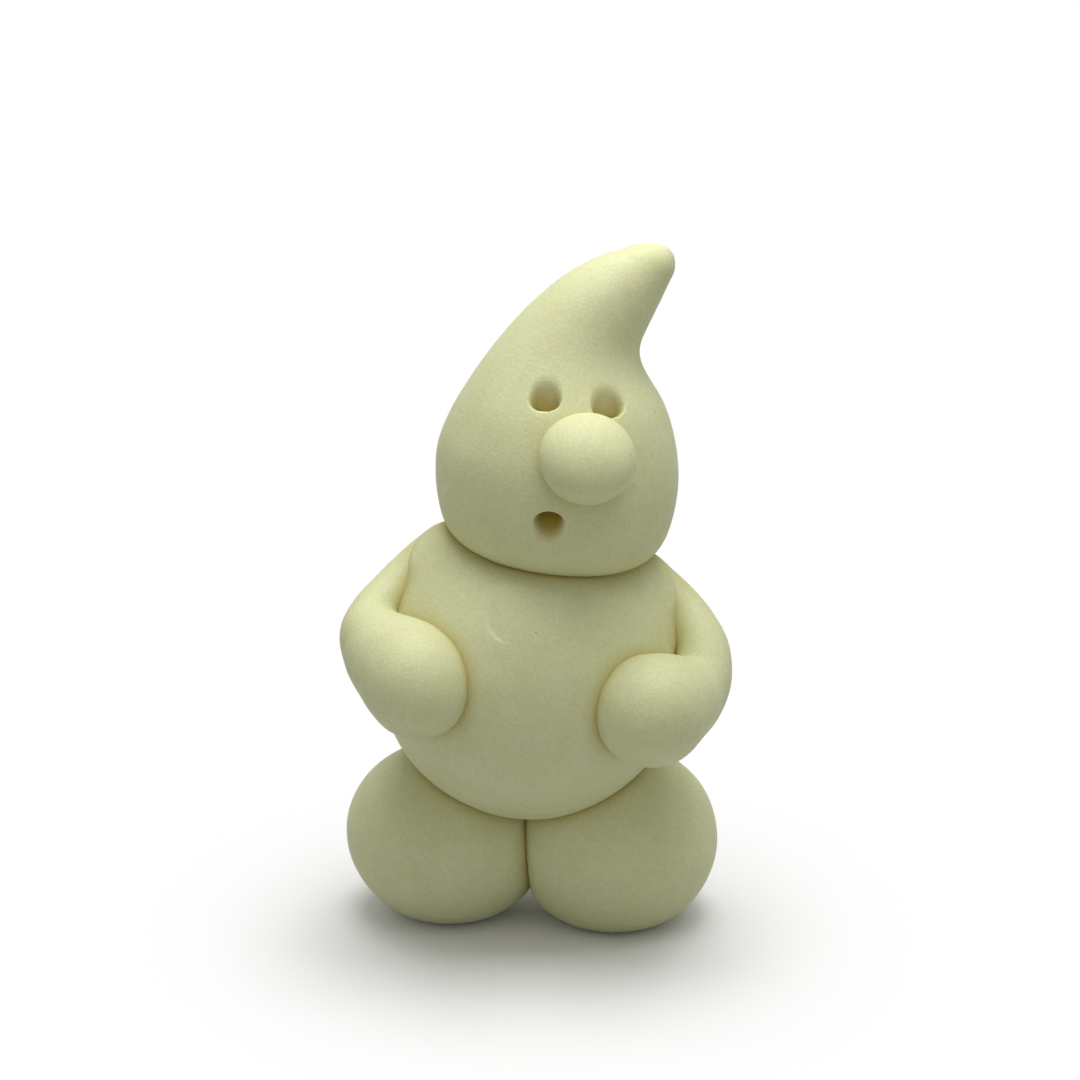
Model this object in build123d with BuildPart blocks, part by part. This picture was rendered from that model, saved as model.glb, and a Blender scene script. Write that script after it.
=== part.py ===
from build123d import *
from math import acos, cos, degrees, radians, sin, sqrt
import os

# A hand-modelled clay ghost, put together the way its maker pressed it: two ball feet carry a
# ball torso, a drop-shaped head with a curled tip sits on the torso over a hidden stick, two
# arms lie along the torso with their hands on the belly, and a ball nose is pressed into the
# face. Millimetres and degrees, +Z up. The figure faces -Y, so its own left side is +X. The
# origin is on the ground, under the middle of the figure.

# Feet: balls stretched sideways, flat underneath and where they press against each other. The
# left one was rolled from a little more clay
right_foot_half_width = 9.0
right_foot_radius = 8.35
right_foot_reach = 7.3  # from the plane where the feet meet to the ball's centre
right_foot_setback = 1.7  # from the torso's centre back to the ball's centre
right_foot_flat_radius = 3.8  # flat underneath, from its middle to its front edge
left_foot_extra_width = 0.2
left_foot_extra_radius = 0.25
left_foot_half_width = right_foot_half_width + left_foot_extra_width
left_foot_radius = right_foot_radius + left_foot_extra_radius
left_foot_reach = 7.8
left_foot_setback = 0.9
left_foot_flat_radius = 4.4
feet_meet_x = -0.8

# Torso: a ball pressed down into both feet
torso_radius = 13.3
torso_sink = 3.6
torso_x = -0.5
torso_y = 1.0

# Neck: a flat round seat that leans towards the figure's left
neck_seat_radius = 7.6
neck_lean = 7.1

# Stick: pushed half into the torso and half into the head
stick_radius = 1.0
stick_length = 16.0
stick_clearance = 0.05

# Head: a ball whose top is drawn up into a tip that curls over to the figure's left. Each row of
# the curl is its middle, sideways and up from the skull's centre, its girth radius and the lean
# of its plane
skull_radius = 10.45
jowl_side_radius = 16.0  # flatter curve below the skull's middle, where the clay is pressed out
jowl_side_angle = 17.0
jowl_under_radius = 4.0  # tighter curve that turns in from there to the neck
curl_base = 3.6
head_curl = [
    (0.2, 6.55, 8.5, 1.0),
    (0.55, 8.9, 7.0, 5.0),
    (1.3, 11.0, 5.75, 12.0),
    (2.6, 12.95, 4.8, 23.0),
    (4.4, 14.85, 4.05, 34.0),
    (6.4, 16.65, 3.05, 40.0),
    (8.2, 17.8, 1.95, 46.0),
]
head_tip = (9.7, 18.7)

# Nose: a whole ball sunk a little way into the face. Places on the face are two angles seen
# from the skull's centre: the turn towards the figure's left, and the rise above level
nose_radius = 3.95
nose_sink = 2.8
nose_turn = 12.8
nose_rise = 21.2

# Eyes and mouth: pits poked square to the face with one tapered, round-ended tool
right_eye_turn = -7.0
right_eye_rise = 48.0
left_eye_turn = 29.0
left_eye_rise = 45.0
mouth_turn = -4.0
mouth_rise = -11.0
pit_rim_radius = 1.4
pit_end_radius = 0.9
pit_depth = 2.8

# Arms: rolls that thicken from the shoulder to a rounded hand. Each row is a place over the
# torso, as its turn from the side towards the front and its rise above level, both seen from
# the torso's centre, then its lift off the torso's surface and its girth radius
right_arm_roll = [
    (-18.0, 64.0, 0.2, 0.6),
    (-14.0, 54.0, 0.7, 1.0),
    (-6.0, 38.0, 0.6, 1.6),
    (17.0, 16.0, 0.9, 3.15),
    (33.0, 11.5, 1.0, 3.85),
    (48.0, 9.0, 1.0, 4.3),
]
left_arm_roll = [
    (-14.0, 50.0, 0.0, 0.6),
    (-12.0, 41.0, 0.2, 0.95),
    (-6.0, 25.0, 0.9, 1.65),
    (9.0, 5.0, 1.6, 2.8),
    (29.0, 1.0, 1.4, 3.85),
    (47.0, -0.5, 1.2, 4.6),
]
hand_end_rings = [(0.7, 0.72)]  # shares of the hand's girth: onward, and round


def tilted(lean):
    return Vector(sin(radians(lean)), 0, cos(radians(lean)))


def ring(place, along, across, girth):
    with BuildSketch(Plane(place, x_dir=across, z_dir=along)) as round_section:
        with BuildLine():
            for start_angle in (0, 90, 180, 270):
                CenterArc((0, 0), girth, start_angle, 90)
        make_face()
    return round_section.sketch


# Where the balls come to rest on each other
right_foot_height = sqrt(right_foot_radius**2 - right_foot_flat_radius**2)
left_foot_height = sqrt(left_foot_radius**2 - left_foot_flat_radius**2)
right_foot_centre = Vector(
    feet_meet_x - right_foot_reach, torso_y + right_foot_setback, right_foot_height
)
left_foot_centre = Vector(
    feet_meet_x + left_foot_reach, torso_y + left_foot_setback, left_foot_height
)


def height_over(foot_centre, foot_radius):
    apart = torso_radius + foot_radius - torso_sink
    level_apart = (foot_centre - Vector(torso_x, torso_y, foot_centre.Z)).length
    return foot_centre.Z + sqrt(apart**2 - level_apart**2)


torso_z = (
    height_over(right_foot_centre, right_foot_radius)
    + height_over(left_foot_centre, left_foot_radius)
) / 2
torso_centre = Vector(torso_x, torso_y, torso_z)
neck_axis = tilted(neck_lean)
neck_centre = torso_centre + neck_axis * sqrt(torso_radius**2 - neck_seat_radius**2)
neck_plane = Plane(neck_centre, x_dir=(0, 1, 0), z_dir=neck_axis)
side_middle = skull_radius - jowl_side_radius
under_middle = (
    side_middle + (jowl_side_radius - jowl_under_radius) * cos(radians(jowl_side_angle)),
    -(jowl_side_radius - jowl_under_radius) * sin(radians(jowl_side_angle)),
)
under_angle = degrees(acos((neck_seat_radius - under_middle[0]) / jowl_under_radius))
skull_drop = jowl_under_radius * sin(radians(under_angle)) - under_middle[1]
skull_centre = neck_centre + neck_axis * skull_drop

# The stick and the blind hole that it leaves on each side of the neck
with BuildPart() as neck_stick:
    with Locations(neck_plane):
        Cylinder(stick_radius, stick_length)

with BuildPart() as stick_hole:
    with Locations(neck_plane):
        Cylinder(stick_radius + stick_clearance, stick_length + 2 * stick_clearance)

# Torso: cut flat at the neck
with BuildPart() as torso:
    with Locations(torso_centre):
        Sphere(torso_radius)
    split(bisect_by=neck_plane, keep=Keep.BOTTOM)
    add(stick_hole.part, mode=Mode.SUBTRACT)


quarter_ellipse = [1, sqrt(0.5), 1]  # curve weights that make a true quarter of an ellipse


def shape_foot(side, centre, half_width, radius):
    with BuildPart() as foot:
        with BuildSketch(Plane(centre)):
            with BuildLine():
                outer, top, inner = (half_width, 0), (0, radius), (-half_width, 0)
                Bezier(outer, (half_width, radius), top, weights=quarter_ellipse)
                Bezier(top, (-half_width, radius), inner, weights=quarter_ellipse)
                Line(inner, outer)
            make_face()
        revolve(axis=Axis(centre, (1, 0, 0)))
        split(bisect_by=Plane.XY)
        split(bisect_by=Plane((feet_meet_x, 0, 0), z_dir=(side, 0, 0)))
        add(torso.part, mode=Mode.SUBTRACT)
    return foot


right_foot = shape_foot(-1, right_foot_centre, right_foot_half_width, right_foot_radius)
left_foot = shape_foot(1, left_foot_centre, left_foot_half_width, left_foot_radius)

# Head before the face is pressed in: the skull, flat at the neck, with the curl on top
curl_plane = Plane(skull_centre).offset(curl_base)
curl_base_radius = sqrt(skull_radius**2 - curl_base**2)
curl_rings = [ring(curl_plane.origin, curl_plane.z_dir, (0, 1, 0), curl_base_radius)]
for sideways, up, girth, lean in head_curl:
    place = skull_centre + Vector(sideways, 0, up)
    curl_rings.append(ring(place, tilted(lean), (0, 1, 0), girth))
tip = skull_centre + Vector(head_tip[0], 0, head_tip[1])

with BuildPart() as plain_head:
    with BuildSketch(Plane(skull_centre, x_dir=tilted(neck_lean + 90), z_dir=(0, -1, 0))):
        with BuildLine():
            CenterArc((0, 0), skull_radius, 0, 90)
            Polyline((0, skull_radius), (0, -skull_drop), (neck_seat_radius, -skull_drop))
            CenterArc(under_middle, jowl_under_radius, -under_angle, under_angle - jowl_side_angle)
            CenterArc((side_middle, 0), jowl_side_radius, -jowl_side_angle, jowl_side_angle)
        make_face()
    revolve(axis=Axis(skull_centre, neck_axis))
    split(bisect_by=curl_plane, keep=Keep.BOTTOM)
    loft([*curl_rings, Vertex(tip)])


def on_face(turn, rise):
    toward = Vector(
        cos(radians(rise)) * sin(radians(turn)),
        -cos(radians(rise)) * cos(radians(turn)),
        sin(radians(rise)),
    )
    return plain_head.part.shell().find_intersection_points(Axis(skull_centre, toward))[-1]


nose_seat, nose_outward = on_face(nose_turn, nose_rise)

with BuildPart() as nose:
    with Locations(nose_seat + nose_outward * (nose_radius - nose_sink)):
        Sphere(nose_radius)

# The poking tool's end, with its rim at the origin and its point downwards
with BuildPart() as pit:
    with BuildSketch(Plane.XZ):
        with BuildLine():
            end_height = pit_end_radius - pit_depth
            Polyline(
                (0, -pit_depth),
                (0, pit_rim_radius),
                (pit_rim_radius, pit_rim_radius),
                (pit_rim_radius, 0),
                (pit_end_radius, end_height),
            )
            RadiusArc((pit_end_radius, end_height), (0, -pit_depth), pit_end_radius)
        make_face()
    revolve(axis=Axis.Z)

pit_places = [
    on_face(right_eye_turn, right_eye_rise),
    on_face(left_eye_turn, left_eye_rise),
    on_face(mouth_turn, mouth_rise),
]

with BuildPart() as head:
    add(plain_head.part)
    add(nose.part, mode=Mode.SUBTRACT)
    for rim_centre, outward in pit_places:
        with Locations(Plane(rim_centre, z_dir=outward)):
            add(pit.part, mode=Mode.SUBTRACT)
    add(stick_hole.part, mode=Mode.SUBTRACT)


def shape_arm(side, roll):
    spine = []
    for turn, rise, lift, girth in roll:
        outward = Vector(
            side * cos(radians(rise)) * cos(radians(turn)),
            -cos(radians(rise)) * sin(radians(turn)),
            sin(radians(rise)),
        )
        spine.append(torso_centre + outward * (torso_radius + lift))
    girths = [row[3] for row in roll]
    rings = []
    for i, place in enumerate(spine):
        along = spine[min(i + 1, len(spine) - 1)] - spine[max(i - 1, 0)]
        rings.append(ring(place, along, place - torso_centre, girths[i]))
    hand = spine[-1]
    reach = along.normalized() * girths[-1]
    for onward, round_share in hand_end_rings:
        place = hand + reach * onward
        rings.append(ring(place, along, hand - torso_centre, girths[-1] * round_share))
    with BuildPart() as arm:
        loft([*rings, Vertex(hand + reach)])
        add(torso.part, mode=Mode.SUBTRACT)
        add(head.part, mode=Mode.SUBTRACT)
    return arm


right_arm = shape_arm(-1, right_arm_roll)
left_arm = shape_arm(1, left_arm_roll)

os.makedirs("parts", exist_ok=True)
pieces = {
    "torso": torso,
    "head": head,
    "nose": nose,
    "right_arm": right_arm,
    "left_arm": left_arm,
    "right_foot": right_foot,
    "left_foot": left_foot,
    "neck_stick": neck_stick,
}
for name, piece in pieces.items():
    piece.part.label = name
    export_step(piece.part, f"parts/{name}.step")
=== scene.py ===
import math
import bmesh
import bpy
from mathutils import Matrix, Vector, noise
from mathutils.bvhtree import BVHTree


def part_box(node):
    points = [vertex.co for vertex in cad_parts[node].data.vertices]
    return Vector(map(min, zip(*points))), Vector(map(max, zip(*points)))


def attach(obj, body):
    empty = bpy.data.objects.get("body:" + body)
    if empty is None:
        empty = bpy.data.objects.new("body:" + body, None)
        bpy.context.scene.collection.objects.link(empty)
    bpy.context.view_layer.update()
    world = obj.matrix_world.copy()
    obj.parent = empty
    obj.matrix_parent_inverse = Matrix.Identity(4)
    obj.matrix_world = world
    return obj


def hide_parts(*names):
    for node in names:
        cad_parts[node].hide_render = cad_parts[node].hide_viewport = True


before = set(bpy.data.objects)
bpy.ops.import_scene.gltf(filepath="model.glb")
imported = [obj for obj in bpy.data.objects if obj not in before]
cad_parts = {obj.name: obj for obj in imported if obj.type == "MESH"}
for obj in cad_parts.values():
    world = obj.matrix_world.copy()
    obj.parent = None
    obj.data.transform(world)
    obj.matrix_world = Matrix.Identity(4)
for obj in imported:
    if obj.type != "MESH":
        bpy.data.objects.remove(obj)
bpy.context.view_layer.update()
mm = 0.001
print("frame loaded:", ", ".join(sorted(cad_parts)))


def hexColour(code):
    parts = [int(code[i:i + 2], 16) / 255 for i in (1, 3, 5)]
    return [p / 12.92 if p <= 0.04045 else ((p + 0.055) / 1.055) ** 2.4 for p in parts] + [1.0]


def addNode(tree, kind, settings=None, values=None, links=None):
    node = tree.nodes.new(kind)
    for name, value in (settings or {}).items():
        setattr(node, name, value)
    for name, value in (values or {}).items():
        node.inputs[name].default_value = value
    for name, source in (links or {}).items():
        tree.links.new(source, node.inputs[name])
    return node


def emptyTree(holder):
    # the nodes of a material or a world, with nothing in them yet
    holder.use_nodes = True
    holder.node_tree.nodes.clear()
    return holder.node_tree


def meshFrom(bm, name):
    mesh = bpy.data.meshes.new(name)
    bm.to_mesh(mesh)
    bm.free()
    return mesh


def addObject(name, data):
    thing = bpy.data.objects.new(name, data)
    bpy.context.scene.collection.objects.link(thing)
    return thing


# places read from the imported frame
torsoLow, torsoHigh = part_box("torso")
torsoRadius = (torsoHigh.x - torsoLow.x) / 2
torsoMiddle = (torsoLow + torsoHigh) / 2
torsoMiddle.z = torsoLow.z + torsoRadius  # the ball is cut off at the neck
stickLow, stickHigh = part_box("neck_stick")
neckMiddle = (stickLow + stickHigh) / 2  # the stick is half in the torso and half in the head
neckAxis = (neckMiddle - torsoMiddle).normalized()
noseLow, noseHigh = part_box("nose")
noseMiddle = (noseLow + noseHigh) / 2
noseRadius = (noseHigh.z - noseLow.z) / 2
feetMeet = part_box("right_foot")[1].x

bond = 0.1 * mm  # soft pieces pressed together run this far into each other, so no slit is left
pressReach = 8 * mm  # clay further than this from the other piece isn't pressed by it


def eased(t):
    t = min(1, max(0, t))
    return t * t * (3 - 2 * t)


def ramp(value, start, end):
    # 0 up to the start, 1 from the end on
    return eased((value - start) / (end - start))


def facing(turn, rise):
    # turn from the front towards the figure's left, rise above level
    turn, rise = math.radians(turn), math.radians(rise)
    return Vector((math.cos(rise) * math.sin(turn), -math.cos(rise) * math.cos(turn), math.sin(rise)))


def onFace(out):
    # the ways across and up on a surface that faces out
    across = Vector((0, 0, 1)).cross(out).normalized()
    return across, out.cross(across)


def lipped(away, lip):
    # soft clay stops at what it is pressed against and turns away from it over a round lip,
    # which has run out 8 lips away
    return away if away > 8 * lip else lip * math.log1p(math.exp(away / lip))


def pressOffPlane(bm, place, outward, lip):
    for v in bm.verts:
        away = (v.co - place).dot(outward)
        v.co += outward * (lipped(away, lip * mm) - away)


def pressOffBall(bm, middle, radius, lip):
    for v in bm.verts:
        ray = v.co - middle
        v.co = middle + ray.normalized() * (radius + lipped(ray.length - radius, lip * mm))


def pressOffPiece(bm, tree, lip, sink):
    # what would lie inside the other piece ends just under its surface
    for v in bm.verts:
        near, normal, face, far = tree.find_nearest(v.co, pressReach)
        if near is not None:
            above = (v.co - near).dot(normal) + sink * mm
            v.co += normal * (lipped(above, lip * mm) - above)


def handRolled(bm, size, height, shift):
    # slow swells that rolling between the fingers leaves, and closer, lower ones on top of them
    closer, lower = 2.9, 0.35
    bm.normal_update()
    for v in bm.verts:
        place = v.co / (size * mm) + Vector(shift)
        swell = noise.noise(place) + lower * noise.noise(place * closer)
        v.co += v.normal * (height * mm * swell)


def finer(bm, place, *reaches):
    # the mesh split once within each reach of the place
    for reach in reaches:
        near = [e for e in bm.edges if (e.verts[0].co - place).length < reach * mm]
        bmesh.ops.subdivide_edges(bm, edges=near, cuts=1, use_grid_fill=True)


def worked(bm, steps):
    # the mesh after a run of modifiers
    mesh = meshFrom(bm, "rough")
    rough = addObject("rough", mesh)
    for kind, settings in steps:
        step = rough.modifiers.new(kind, kind)
        for name, value in settings.items():
            setattr(step, name, value)
    fine = bmesh.new()
    fine.from_object(rough, bpy.context.evaluated_depsgraph_get())
    bpy.data.objects.remove(rough)
    bpy.data.meshes.remove(mesh)
    return fine


def clayBall(middle, halfSizes, turn=0.0, fineness=7):
    bm = bmesh.new()
    turned = Matrix.Translation(middle) @ Matrix.Rotation(math.radians(turn), 4, "Y")
    shape = turned @ Matrix.Diagonal((*halfSizes, 1))
    bmesh.ops.create_icosphere(bm, subdivisions=fineness, radius=1, matrix=shape)
    return bm


def clayRoll(rings, count):
    # rings of middle, way along, way across and girth, joined end to end
    bm = bmesh.new()
    drawnIn = (4 + 2 * math.cos(2 * math.pi / count)) / 6  # a ring shrinks this much when it is subdivided
    loops = []
    for middle, along, across, girth in rings:
        z = along.normalized()
        x = (across - z * across.dot(z)).normalized()
        place = Matrix.Translation(middle) @ Matrix((x, z.cross(x), z)).transposed().to_4x4()
        radius = girth / drawnIn
        ring = bmesh.ops.create_circle(bm, cap_ends=False, segments=count, radius=radius, matrix=place)
        loops.append(list({e for v in ring["verts"] for e in v.link_edges}))
    for lower, upper in zip(loops, loops[1:]):
        bmesh.ops.bridge_loops(bm, edges=lower + upper)
    for end in (loops[0], loops[-1]):
        bmesh.ops.edgeloop_fill(bm, edges=end)
    bmesh.ops.recalc_face_normals(bm, faces=bm.faces)
    return bm


def passing(a, b, c, d, t):
    # the share t of the way from b to c, on a curve that also passes through a and d
    return (2 * b + (c - a) * t + (2 * a - 5 * b + 4 * c - d) * t ** 2 + (3 * b - a - 3 * c + d) * t ** 3) / 2


def between(rows, steps):
    # a smooth curve through the rows, in equal steps from each row to the next
    ends = [rows[0], *rows, rows[-1]]
    dense = []
    for four in zip(ends, ends[1:], ends[2:], ends[3:]):
        for k in range(steps):
            dense.append([passing(*values, k / steps) for values in zip(*four)])
    return dense + [rows[-1]]


def clayChain(balls, cell):
    # one skin round a run of balls, made in mm because the skin's cells are so small
    bm = bmesh.new()
    for middle, girth in balls:
        place = Matrix.Translation(middle / mm)
        bmesh.ops.create_icosphere(bm, subdivisions=4, radius=girth / mm, matrix=place)
    skin = ("REMESH", {"mode": "VOXEL", "voxel_size": cell})
    smooth = ("SMOOTH", {"factor": 0.5, "iterations": 8})
    bm = worked(bm, [skin, smooth])
    bmesh.ops.scale(bm, vec=(mm, mm, mm), verts=bm.verts)
    return bm


# torso: one ball, flat under the head, fuller at the shoulders, with one fingernail mark on the chest.
# Lengths are in mm and angles in degrees, here and below. A shift picks a piece's own stretch of the swells
torso = {
    "swell": (9.0, 0.09),  # across, high
    "shift": (3.1, 0.4, 7.7),
    "neckLip": 0.2,
    "shoulders": [  # turn, rise, half width, height
        (-82.0, 38.0, 4.8, 0.8),
        (-84.0, 58.0, 3.2, 0.9),
        (84.0, 32.0, 4.5, 0.7),
        (78.0, 46.0, 3.0, 0.5),
    ],
    "nail": {
        "turn": -6.4, "rise": 38.0, "radius": 2.3, "start": 134.0, "end": 266.0, "depth": 0.15,
        "inside": 1.8, "outside": 0.25,  # where the dent fades out, each side of the nail's edge
        "finer": 3.2,
    },
}


def fillShoulder(bm, turn, rise, halfWidth, height):
    top = torsoMiddle + facing(turn, rise) * torsoRadius
    for v in bm.verts:
        far = (v.co - top).length / (halfWidth * mm)
        v.co += (v.co - torsoMiddle).normalized() * (height * mm * math.exp(-far ** 2))


def nailMark(bm, nail):
    out = facing(nail["turn"], nail["rise"])
    across, up = onFace(out)
    finer(bm, torsoMiddle + out * torsoRadius, nail["finer"])
    for v in bm.verts:
        ray = (v.co - torsoMiddle) / mm
        if ray.dot(out) > 0:
            u, w = ray.dot(across), ray.dot(up)
            beyond = math.hypot(u, w) - nail["radius"]
            along = (math.degrees(math.atan2(w, u)) % 360 - nail["start"]) / (nail["end"] - nail["start"])
            press = eased(1 + beyond / nail["inside"]) if beyond < 0 else eased(1 - beyond / nail["outside"])
            thirds = eased(3 * along) * eased(3 - 3 * along)  # fades over the first and the last third
            v.co -= out * (nail["depth"] * mm * press * thirds)


def rollTorso():
    bm = clayBall(torsoMiddle, [torsoRadius] * 3)
    handRolled(bm, *torso["swell"], torso["shift"])
    pressOffPlane(bm, neckMiddle + neckAxis * bond, -neckAxis, torso["neckLip"])
    for shoulder in torso["shoulders"]:
        fillShoulder(bm, *shoulder)
    nailMark(bm, torso["nail"])
    return bm


torsoClay = rollTorso()
print("torso rolled:", len(torsoClay.verts), "points")

# nose: one small ball, flattened by the finger that pressed it into the face from above
nose = {
    "swell": (4.0, 0.05),
    "shift": (1.7, 8.2, 2.6),
    "tall": 0.97,
    "finger": (6.0, 38.0),  # turn and rise of the way that it came from
    "flattened": 0.66,  # what is left of the half under the finger
}
noseHalfHeight = noseRadius * nose["tall"]
noseMiddle.z += noseRadius - noseHalfHeight  # its top stays level with the solid's


def rollNose():
    bm = clayBall(noseMiddle, (noseRadius, noseRadius, noseHalfHeight), fineness=6)
    finger = facing(*nose["finger"])
    for v in bm.verts:
        v.co -= finger * max(0, (v.co - noseMiddle).dot(finger) * (1 - nose["flattened"]))
    handRolled(bm, *nose["swell"], nose["shift"])
    return bm


noseClay = rollNose()
print("nose rolled:", len(noseClay.verts), "points")

# head: rings from the neck up. Jowl rings lie square to the neck, as distance from the skull's
# middle, sideways and girth. Curl rings are sideways, up, girth and lean
head = {
    "aboveNeck": 7.15,
    "jowl": [
        (-8.4, 0.3, 4.4), (-7.7, 0.3, 6.6), (-7.15, 0.3, 7.6), (-6.55, 0.3, 8.5), (-5.8, 0.3, 9.2),
        (-4.7, 0.3, 9.8), (-3.05, 0.2, 10.2), (-1.4, 0.1, 10.4), (0.0, 0.05, 10.45),
    ],
    "curl": [
        (0.1, 1.8, 10.3, 3.5), (0.05, 3.6, 9.85, 0.0), (0.2, 5.1, 9.25, 0.5), (0.3, 6.55, 8.55, 1.0),
        (0.6, 8.9, 7.0, 5.0), (1.3, 11.0, 5.75, 12.0), (2.55, 13.0, 4.8, 23.0), (4.3, 14.9, 4.1, 34.0),
        (6.25, 16.65, 3.15, 40.0), (7.8, 17.75, 2.2, 46.0), (8.6, 18.25, 1.75, 48.0),
        (9.1, 18.55, 1.25, 50.0), (9.4, 18.75, 0.7, 52.0), (9.55, 18.85, 0.3, 53.0),
    ],
    "ringPoints": 48,
    "swell": (8.0, 0.08),
    "shift": (5.9, 2.2, 0.8),
    "neckLip": 0.2,
    "noseLip": 0.14,
}
skullMiddle = neckMiddle + neckAxis * (head["aboveNeck"] * mm)

# eyes and mouth: one round-ended tool poked in at a slant, so that each pit has a soft ramp on one side
# and a crisp lip on the other. Eyes ramp down from above (slope 1), the mouth from below (slope -1); each pit
# also gets painted shade, strongest at its deep end
pits = [
    {"turn": -7.9, "rise": 47.5, "slope": 1.0, "halfWidth": 1.5,
     "lip": 1.25, "ramp": 2.6, "depth": 1.5, "paintedShade": 0.85},
    {"turn": 31.5, "rise": 43.0, "slope": 1.0, "halfWidth": 1.75,
     "lip": 1.25, "ramp": 2.6, "depth": 1.35, "paintedShade": 0.7},
    {"turn": -4.0, "rise": -10.5, "slope": -1.0, "halfWidth": 1.4,
     "lip": 1.2, "ramp": 2.3, "depth": 2.15, "paintedShade": 1.6},
]
tool = {
    "reach": 4.0,  # round a pit
    "finer": (3.4, 2.8),
    "deepest": 0.5,  # share of the lip's reach at which the pit is deepest
    "deepening": 2.5,  # power that the ramp goes down by
    "crispness": 0.65,  # how much of the rim's softness is gone at the lip
    "slant": 0.4,  # along the face for each mm of depth
}


def poke(bm, pit):
    tree = BVHTree.FromBMesh(bm)
    place, outward = tree.ray_cast(skullMiddle, facing(pit["turn"], pit["rise"]))[:2]
    outward = outward if outward.dot(place - skullMiddle) > 0 else -outward
    across, up = onFace(outward)
    up *= pit["slope"]
    finer(bm, place, *tool["finer"])
    pitShade = bm.verts.layers.float.get("pit") or bm.verts.layers.float.new("pit")
    for v in bm.verts:
        ray = (v.co - place) / mm
        if ray.length < tool["reach"]:
            u, w = ray.dot(across), ray.dot(up)
            rim = math.hypot(u / pit["halfWidth"], w / (pit["ramp"] if w > 0 else pit["lip"]))
            inward = (pit["ramp"] - w) / (pit["ramp"] + tool["deepest"] * pit["lip"])
            inward = min(1, max(0, inward))
            edge = eased((1 - rim) / (1 - tool["crispness"] * inward))
            depth = pit["depth"] * edge * inward ** tool["deepening"] * mm
            v.co -= (outward + up * tool["slant"]) * depth
            # painted shade in the pit, growing towards its deep end by the lip
            v[pitShade] = max(v[pitShade], edge * min(1, pit["paintedShade"] * inward))


def rollHead():
    back = Vector((0, 1, 0))
    rings = []
    for along, sideways, girth in head["jowl"]:
        place = skullMiddle + (neckAxis * along + Vector((sideways, 0, 0))) * mm
        rings.append((place, neckAxis, back, girth * mm))
    for sideways, up, girth, lean in head["curl"]:
        lean = math.radians(lean)
        way = Vector((math.sin(lean), 0, math.cos(lean)))
        rings.append((skullMiddle + Vector((sideways, 0, up)) * mm, way, back, girth * mm))
    bm = worked(clayRoll(rings, head["ringPoints"]), [("SUBSURF", {"levels": 2, "render_levels": 2})])
    handRolled(bm, *head["swell"], head["shift"])
    for pit in pits:
        poke(bm, pit)
    pressOffBall(bm, noseMiddle, noseHalfHeight, head["noseLip"])
    pressOffPlane(bm, neckMiddle - neckAxis * bond, neckAxis, head["neckLip"])
    return bm


headClay = rollHead()
print("head rolled, eyes and mouth poked:", len(headClay.verts), "points")

# feet: balls stretched sideways, flat where they stand and where they meet, dished under the torso
feet = {
    "right": {"halfWidth": 9.1, "tall": 0.99, "flat": 3.8, "turn": 12.0, "forward": 0.0},
    "left": {"halfWidth": 9.2, "tall": 1.0, "flat": 4.4, "turn": -5.0, "forward": 0.3},
    "swell": (8.0, 0.09),
    "shift": {"right": (2.2, 6.1, 9.4), "left": (8.8, 1.3, 4.5)},
    "torsoLip": 0.28,
    "meetLip": 0.22,
    "meetLean": 0.08,  # sideways for each mm of height
    "meetHeight": 7.0,  # where the leaning face is in the middle
    "soleLip": 0.35,
}


def rollFoot(side, name):
    foot = feet[name]
    low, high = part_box(name + "_foot")
    radius = (high.y - low.y) / 2
    middle = Vector((
        (low.x if side < 0 else high.x) - side * foot["halfWidth"] * mm,
        (low.y + high.y) / 2 - foot["forward"] * mm,
        math.sqrt(radius ** 2 - (foot["flat"] * mm) ** 2),
    ))
    bm = clayBall(middle, (foot["halfWidth"] * mm, radius, radius * foot["tall"]), foot["turn"])
    handRolled(bm, *feet["swell"], feet["shift"][name])
    pressOffBall(bm, torsoMiddle, torsoRadius - 2 * bond, feet["torsoLip"])
    meet = Vector((1, 0, feet["meetLean"])).normalized() * side
    meetPlace = Vector((feetMeet, 0, feet["meetHeight"] * mm))
    pressOffPlane(bm, meetPlace - meet * bond, meet, feet["meetLip"])
    pressOffPlane(bm, Vector((0, 0, 0)), Vector((0, 0, 1)), feet["soleLip"])
    return bm


rightFootClay = rollFoot(-1, "right")
leftFootClay = rollFoot(1, "left")
print("feet rolled:", len(rightFootClay.verts) + len(leftFootClay.verts), "points")

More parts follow.
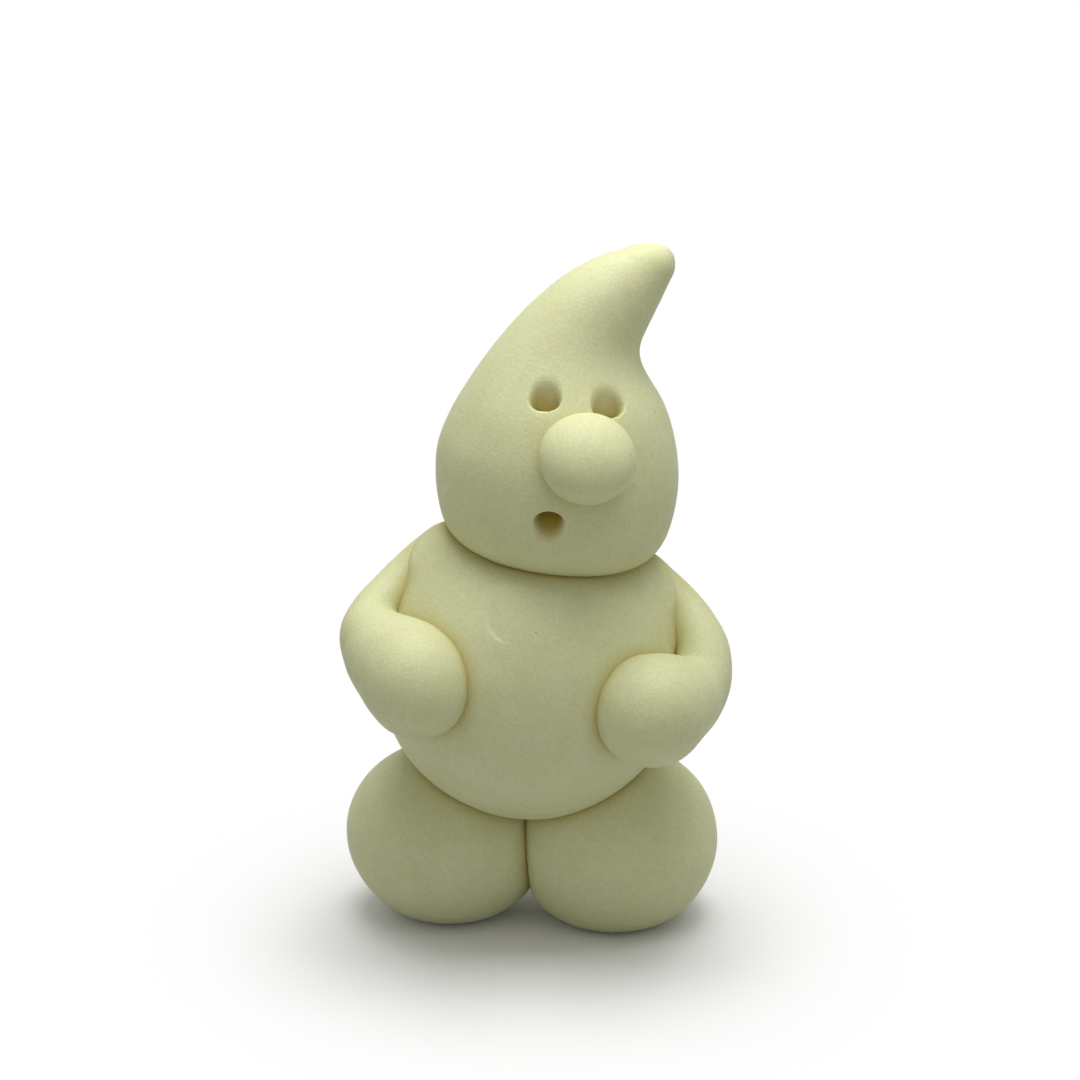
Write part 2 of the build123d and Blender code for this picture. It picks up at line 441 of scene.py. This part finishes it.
# arms: rolls laid over the torso. Each row is its turn from the side to the front and its rise,
# seen from the torso's middle, then its lift off the torso and its girth
arms = {
    "right": [
        (-11.5, 64.0, 0.4, 0.8), (-7.5, 57.0, 0.7, 1.15), (-1.0, 48.5, 0.5, 1.5), (5.0, 39.0, 0.4, 1.95),
        (10.5, 31.5, 1.0, 2.0), (16.5, 25.0, 2.0, 2.05), (23.0, 19.0, 2.25, 2.7), (30.0, 15.5, 1.55, 3.5),
        (41.0, 13.0, 1.2, 4.3), (47.0, 10.5, 1.15, 4.55), (49.0, 8.5, 1.15, 4.4),
    ],
    "left": [
        (-6.5, 50.0, 0.1, 0.7), (-4.0, 42.5, 0.55, 1.0), (0.0, 34.5, 0.45, 1.5), (4.0, 26.5, 0.7, 1.95),
        (10.5, 18.5, 1.5, 2.2), (16.0, 11.5, 2.3, 2.35), (22.0, 4.5, 2.4, 2.65), (29.0, 0.5, 1.9, 3.25),
        (40.0, 0.5, 1.5, 4.25), (47.0, 0.0, 1.45, 4.8),
    ],
    "steps": 8,  # balls from each row to the next
    "shift": {"right": (0.6, 3.3, 5.2), "left": (7.4, 9.1, 1.6)},
    "swell": (6.0, 0.06),
    "cell": 0.16,
    "lip": 0.12,
    "sink": 0.1,
    "folds": {"right": (20.0, 23.0, 5.0, 3.2), "left": (18.0, 8.0, 5.0, 3.0)},  # turn, rise, lift, reach
    "foldStrokes": 150,
    "elbow": {"right": 29.9, "left": 26.2},  # height
    "smear": (0.45, 0.9, 1.6),  # torso clay drawn up along the arm: high at elbow and shoulder, wide
    "upperArm": (2.4, 4.4),  # where these begin and are full, above the elbow
    "shoulder": (2.7, 5.7),
    "flank": (10.6, 12.2),  # the same, beside the torso's middle and above the elbow
    "flankHeight": (-0.4, 1.6),
}


def overTorso(side, turn, rise, lift):
    return torsoMiddle + facing(side * (90 - turn), rise) * (torsoRadius + lift * mm)


def fillFold(bm, place, reach):
    # a fold that a finger went over: its hollow fills up and the rest stays
    bm.normal_update()
    near = []
    for v in bm.verts:
        far = (v.co - place).length / (reach * mm)
        if far < 1:
            share = eased(1.5 - 1.5 * far)  # full over the inner third of the reach
            near.append((v, share, [e.other_vert(v) for e in v.link_edges]))
    for stroke in range(arms["foldStrokes"]):
        for v, share, others in near:
            level = sum((other.co for other in others), Vector()) / len(others)
            hollow = (level - v.co).dot(v.normal)
            if hollow > 0:
                v.co += v.normal * (hollow * share)


laidOn = [BVHTree.FromBMesh(torsoClay), BVHTree.FromBMesh(headClay)]


def rollArm(side, name):
    balls = []
    for turn, rise, lift, girth in between(arms[name], arms["steps"]):
        balls.append((overTorso(side, turn, rise, lift), girth * mm))
    bm = clayChain(balls, arms["cell"])
    *fold, reach = arms["folds"][name]
    fillFold(bm, overTorso(side, *fold), reach)
    handRolled(bm, *arms["swell"], arms["shift"][name])
    for tree in laidOn:
        pressOffPiece(bm, tree, arms["lip"], arms["sink"])
    return bm


rightArmClay = rollArm(-1, "right")
leftArmClay = rollArm(1, "left")
print("arms rolled:", len(rightArmClay.verts) + len(leftArmClay.verts), "points")


def aboveElbow(place):
    return place.z / mm - arms["elbow"]["left" if place.x > 0 else "right"]


def shouldered(place):
    # 1 at the shoulder, where the arm runs out into the torso
    return ramp(aboveElbow(place), *arms["shoulder"])


def smeared(place):
    # 1 beside the upper arm, 0 round the hand
    above = aboveElbow(place)
    beside = abs(place.x - torsoMiddle.x) / mm
    onFlank = ramp(beside, *arms["flank"]) * ramp(above, *arms["flankHeight"])
    return max(ramp(above, *arms["upperArm"]), onFlank)


def smear(armClay):
    tree = BVHTree.FromBMesh(armClay)
    low, high, width = arms["smear"]
    for v in torsoClay.verts:
        far = tree.find_nearest(v.co, width * mm)[3]
        if far is not None:
            drawn = (low + (high - low) * shouldered(v.co)) * smeared(v.co) * mm
            v.co += (v.co - torsoMiddle).normalized() * (drawn * (1 - far / (width * mm)) ** 2)


smear(rightArmClay)
smear(leftArmClay)
print("shoulders smeared")

# oven-cured modelling clay, smoothed by finger: matte with a fine tooth and a faint sheen, a little
# translucent, so it is warmer and yellower wherever it faces more clay; there and in the pits a warmer,
# darker painted shade is laid on too
clay = {
    "colour": "#D6D9AA",
    "patchColour": "#D0D2A0",
    # painted shade where pieces touch
    "warmColour": "#D5D1A0",
    "creaseShadeColour": "#C8BF7F",
    # painted shade in the eye and mouth pits
    "pitShadeColour": "#A3891A",
    "speckColour": "#77724E",
    "patch": 6.0,  # across a slow change of tone
    "warm": 2.2,  # across a warmer fleck
    "warmShare": 0.3,
    "mottle": 0.8,  # across a fleck of tone
    "grain": 0.26,  # across a grain, drawn coarser than the real tooth so that it shows
    "grainTone": (0.95, 1.05),
    "tooth": 0.06,  # high, at most
    "speck": 2.0,  # between the places where a speck of lint may stick
    "specksLeftOut": (0.84, 0.85),  # share of those places that stay bare
    "speckEdge": (0.04, 0.075),  # where a speck begins and ends to fade, as a share of that distance
    "speckShare": 0.45,
    "roughness": (0.52, 0.66),
    "translucency": 0.25,
    "translucentColour": (1.0, 0.85, 0.4),
    "depth": 1.2,  # that light goes in
}


def clayMaterial():
    material = bpy.data.materials.new("oven_cured_clay")
    tree = emptyTree(material)
    place = addNode(tree, "ShaderNodeTexCoord").outputs["Object"]

    flecks = {}
    for size, detail in {"patch": 2.0, "warm": 2.0, "mottle": 3.0, "grain": 2.0}.items():
        values = {"Scale": 1 / (clay[size] * mm), "Detail": detail}
        cloud = addNode(tree, "ShaderNodeTexNoise", values=values, links={"Vector": place})
        flecks[size] = cloud.outputs["Fac"]
    tone = addNode(tree, "ShaderNodeMath", {"operation": "MULTIPLY_ADD"}, {1: 0.4},
                   {0: flecks["mottle"], 2: flecks["patch"]})
    tooth = addNode(tree, "ShaderNodeMath", {"operation": "MULTIPLY_ADD"}, {1: 0.35},
                    {0: flecks["mottle"], 2: flecks["grain"]})
    lintScale = {"Scale": 1 / (clay["speck"] * mm)}
    lint = addNode(tree, "ShaderNodeTexVoronoi", values=lintScale, links={"Vector": place})
    drawn = addNode(tree, "ShaderNodeSeparateColor", links={"Color": lint.outputs["Color"]})

    # the part of each pattern's range that is used, and what it is spread out to
    ranges = {
        "patch": (tone.outputs[0], (0.5, 0.9), (0.0, 1.0)),
        "warm": (flecks["warm"], (0.45, 0.75), (0.0, clay["warmShare"])),
        "kept": (drawn.outputs[0], clay["specksLeftOut"], (0.0, clay["speckShare"])),
        "dot": (lint.outputs["Distance"], clay["speckEdge"], (1.0, 0.0)),
        "grain": (flecks["grain"], (0.3, 0.7), clay["grainTone"]),
        "roughness": (flecks["mottle"], (0.3, 0.7), clay["roughness"]),
    }
    spread = {}
    for name, (pattern, (low, high), (start, end)) in ranges.items():
        values = {"From Min": low, "From Max": high, "To Min": start, "To Max": end}
        spread[name] = addNode(tree, "ShaderNodeMapRange", values=values, links={"Value": pattern}).outputs[0]
    specks = addNode(tree, "ShaderNodeMath", {"operation": "MULTIPLY"},
                     links={0: spread["dot"], 1: spread["kept"]})

    # tones laid over the clay's own colour, one on the other: patches, warm flecks, lint specks, then painted
    # shade in the creases and in the pits
    layers = {
        "patchColour": spread["patch"],
        "warmColour": spread["warm"],
        "speckColour": specks.outputs[0],
        "creaseShadeColour": addNode(tree, "ShaderNodeAttribute", {"attribute_name": "creaseShade"}).outputs["Fac"],
        "pitShadeColour": addNode(tree, "ShaderNodeAttribute", {"attribute_name": "pit"}).outputs["Fac"],
    }
    below = {}
    for colour, share in layers.items():
        colours = {6: hexColour(clay["colour"]), 7: hexColour(clay[colour])}
        layer = addNode(tree, "ShaderNodeMix", {"data_type": "RGBA"}, colours, {0: share, **below})
        below = {6: layer.outputs[2]}
    toned = addNode(tree, "ShaderNodeVectorMath", {"operation": "SCALE"},
                    links={0: layer.outputs[2], "Scale": spread["grain"]})
    bumpValues = {"Strength": 0.5, "Distance": clay["tooth"] * mm}
    bump = addNode(tree, "ShaderNodeBump", values=bumpValues, links={"Height": tooth.outputs[0]})
    surface = addNode(tree, "ShaderNodeBsdfPrincipled", values={
        "IOR": 1.5,
        "Subsurface Weight": clay["translucency"],
        "Subsurface Radius": clay["translucentColour"],
        "Subsurface Scale": clay["depth"] * mm,
    }, links={
        "Base Color": toned.outputs[0],
        "Roughness": spread["roughness"],
        "Normal": bump.outputs[0],
    })
    addNode(tree, "ShaderNodeOutputMaterial", links={"Surface": surface.outputs[0]})
    return material


# beech stick in the neck: pale wood with fine lengthwise grain, out of sight between head and torso
beech = {
    "colour": "#D9B98A",
    "grainColour": "#B98E58",
    "grain": 0.25,  # across a streak
    "lengthwise": 0.06,  # a streak's width as a share of its length
    "pores": 0.03,  # deep, at most
    "roughness": 0.6,
}


def beechMaterial():
    material = bpy.data.materials.new("beech_stick")
    tree = emptyTree(material)
    place = addNode(tree, "ShaderNodeTexCoord").outputs["Object"]
    stretch = {"Scale": (1.0, 1.0, beech["lengthwise"])}
    lengthwise = addNode(tree, "ShaderNodeMapping", values=stretch, links={"Vector": place})
    streakValues = {"Scale": 1 / (beech["grain"] * mm), "Detail": 3.0}
    streak = addNode(tree, "ShaderNodeTexNoise", values=streakValues, links={"Vector": lengthwise.outputs[0]})
    colours = {6: hexColour(beech["colour"]), 7: hexColour(beech["grainColour"])}
    colour = addNode(tree, "ShaderNodeMix", {"data_type": "RGBA"}, colours, {0: streak.outputs["Fac"]})
    bumpValues = {"Strength": 0.3, "Distance": beech["pores"] * mm}
    bump = addNode(tree, "ShaderNodeBump", values=bumpValues, links={"Height": streak.outputs["Fac"]})
    surface = addNode(tree, "ShaderNodeBsdfPrincipled", values={"Roughness": beech["roughness"]},
                      links={"Base Color": colour.outputs[2], "Normal": bump.outputs[0]})
    addNode(tree, "ShaderNodeOutputMaterial", links={"Surface": surface.outputs[0]})
    return material


# painted shade in the creases: a warmer, darker tone, full where two pieces touch, fading out over its reach,
# weaker round the nose and where an arm is smeared into its shoulder
paintedCreaseShade = {"reach": 1.6, "noseShare": 0.5, "shoulderFade": 0.8}
pieces = {
    "torso": torsoClay,
    "head": headClay,
    "nose": noseClay,
    "right_arm": rightArmClay,
    "left_arm": leftArmClay,
    "right_foot": rightFootClay,
    "left_foot": leftFootClay,
}
trees = {node: BVHTree.FromBMesh(bm) for node, bm in pieces.items()}


def paintCreaseShade(node, bm):
    creaseShade = bm.verts.layers.float.new("creaseShade")
    reach = paintedCreaseShade["reach"] * mm
    for other, tree in trees.items():
        if other == node:
            continue
        pair = {node, other}
        onShoulder = "torso" in pair and bool(pair & {"right_arm", "left_arm"})
        share = paintedCreaseShade["noseShare"] if "nose" in pair else 1.0
        for v in bm.verts:
            far = tree.find_nearest(v.co, reach)[3]
            if far is not None:
                # painted shade, strongest where the pieces touch
                paintedShade = share * (1 - far / reach) ** 2
                if onShoulder:
                    paintedShade *= 1 - paintedCreaseShade["shoulderFade"] * shouldered(v.co)
                v[creaseShade] = max(v[creaseShade], paintedShade)


finish = clayMaterial()
for node, bm in pieces.items():
    if bm.verts.layers.float.get("pit") is None:
        bm.verts.layers.float.new("pit")
    paintCreaseShade(node, bm)
    mesh = meshFrom(bm, node + "_clay")
    mesh.shade_smooth()
    mesh.materials.append(finish)
    piece = addObject(node + "_clay", mesh)
    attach(piece, "root")
    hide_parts(node)
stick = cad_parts["neck_stick"]
stick.data.materials.clear()
stick.data.materials.append(beechMaterial())
print("pieces finished:", ", ".join(pieces))

# stage, in metres: pale floor that goes white away from the figure and gives back half of its light, under a
# soft light from all round, one lamp above and a weaker one to the figure's left
stage = {
    "floorSize": 3.0,
    "floorColour": "#FAFAFA",
    "floorRoughness": 0.9,
    "bounceColour": "#C4C4C4",
    "whiteFrom": 0.012,
    "whiteTo": 0.04,
}
white = (1, 1, 1, 1)


def floorMaterial():
    material = bpy.data.materials.new("pale_floor")
    tree = emptyTree(material)
    place = addNode(tree, "ShaderNodeTexCoord").outputs["Object"]
    far = addNode(tree, "ShaderNodeVectorMath", {"operation": "LENGTH"}, links={0: place})
    fadeValues = {"From Min": stage["whiteFrom"], "From Max": stage["whiteTo"]}
    fade = addNode(tree, "ShaderNodeMapRange", {"interpolation_type": "SMOOTHSTEP"}, fadeValues,
                   {"Value": far.outputs["Value"]})
    path = addNode(tree, "ShaderNodeLightPath").outputs
    seen = path["Is Camera Ray"]
    for ray in ("Is Glossy Ray", "Is Transmission Ray"):
        larger = addNode(tree, "ShaderNodeMath", {"operation": "MAXIMUM"}, links={0: seen, 1: path[ray]})
        seen = larger.outputs[0]
    cleared = addNode(tree, "ShaderNodeMath", {"operation": "MULTIPLY"}, links={0: seen, 1: fade.outputs[0]})
    colours = {6: hexColour(stage["bounceColour"]), 7: hexColour(stage["floorColour"])}
    shade = addNode(tree, "ShaderNodeMix", {"data_type": "RGBA"}, colours, {0: seen})
    board = addNode(tree, "ShaderNodeBsdfPrincipled", values={"Roughness": stage["floorRoughness"]},
                    links={"Base Color": shade.outputs[2]})
    glow = addNode(tree, "ShaderNodeEmission", values={"Color": white, "Strength": 1.0})
    both = addNode(tree, "ShaderNodeMixShader",
                   links={0: cleared.outputs[0], 1: board.outputs[0], 2: glow.outputs[0]})
    addNode(tree, "ShaderNodeOutputMaterial", links={"Surface": both.outputs[0]})
    return material


floorShape = bmesh.new()
bmesh.ops.create_grid(floorShape, x_segments=1, y_segments=1, size=stage["floorSize"] / 2)
floor = addObject("floor", meshFrom(floorShape, "floor"))
floor.data.materials.append(floorMaterial())

lamps = {
    "above": {"place": (0.0, 0.0, 0.195), "size": 0.12, "watts": 0.23},
    "aside": {"place": (0.14, -0.04, 0.4), "size": 0.2, "watts": 0.21},
}
aim = Vector((0, 0, 0.03))
for name, lamp in lamps.items():
    light = bpy.data.lights.new(name, "AREA")
    light.size = lamp["size"]
    light.energy = lamp["watts"]
    holder = addObject(name, light)
    holder.location = lamp["place"]
    holder.rotation_euler = (aim - Vector(lamp["place"])).to_track_quat("-Z", "Y").to_euler()

sky = {"colour": "#FFFFFF", "strength": 0.415}


def lightSky():
    world = bpy.data.worlds.new("studio")
    bpy.context.scene.world = world
    tree = emptyTree(world)
    path = addNode(tree, "ShaderNodeLightPath").outputs
    skyValues = {"Color": hexColour(sky["colour"]), "Strength": sky["strength"]}
    around = addNode(tree, "ShaderNodeBackground", values=skyValues)
    behind = addNode(tree, "ShaderNodeBackground", values={"Color": white, "Strength": 1.0})
    both = addNode(tree, "ShaderNodeMixShader",
                   links={0: path["Is Camera Ray"], 1: around.outputs[0], 2: behind.outputs[0]})
    addNode(tree, "ShaderNodeOutputWorld", links={"Surface": both.outputs[0]})


lightSky()
print("stage set")

# camera: the photograph's view, a little above the figure
view = {"target": (0.3, 1.0, 35.5), "distance": 220.0, "above": 17.0, "lens": 85.0, "sensor": 36.0}


def placeCamera():
    lens = bpy.data.cameras.new("camera")
    lens.lens = view["lens"]
    lens.sensor_width = view["sensor"]
    lens.clip_start = 0.01
    camera = addObject("camera", lens)
    above = math.radians(view["above"])
    away = Vector((0, -math.cos(above), math.sin(above))) * view["distance"]
    camera.location = (Vector(view["target"]) + away) * mm
    camera.rotation_euler = (math.pi / 2 - above, 0, 0)
    return camera


bpy.context.scene.camera = placeCamera()
bpy.context.scene.view_settings.view_transform = "Standard"

print("scene ready")
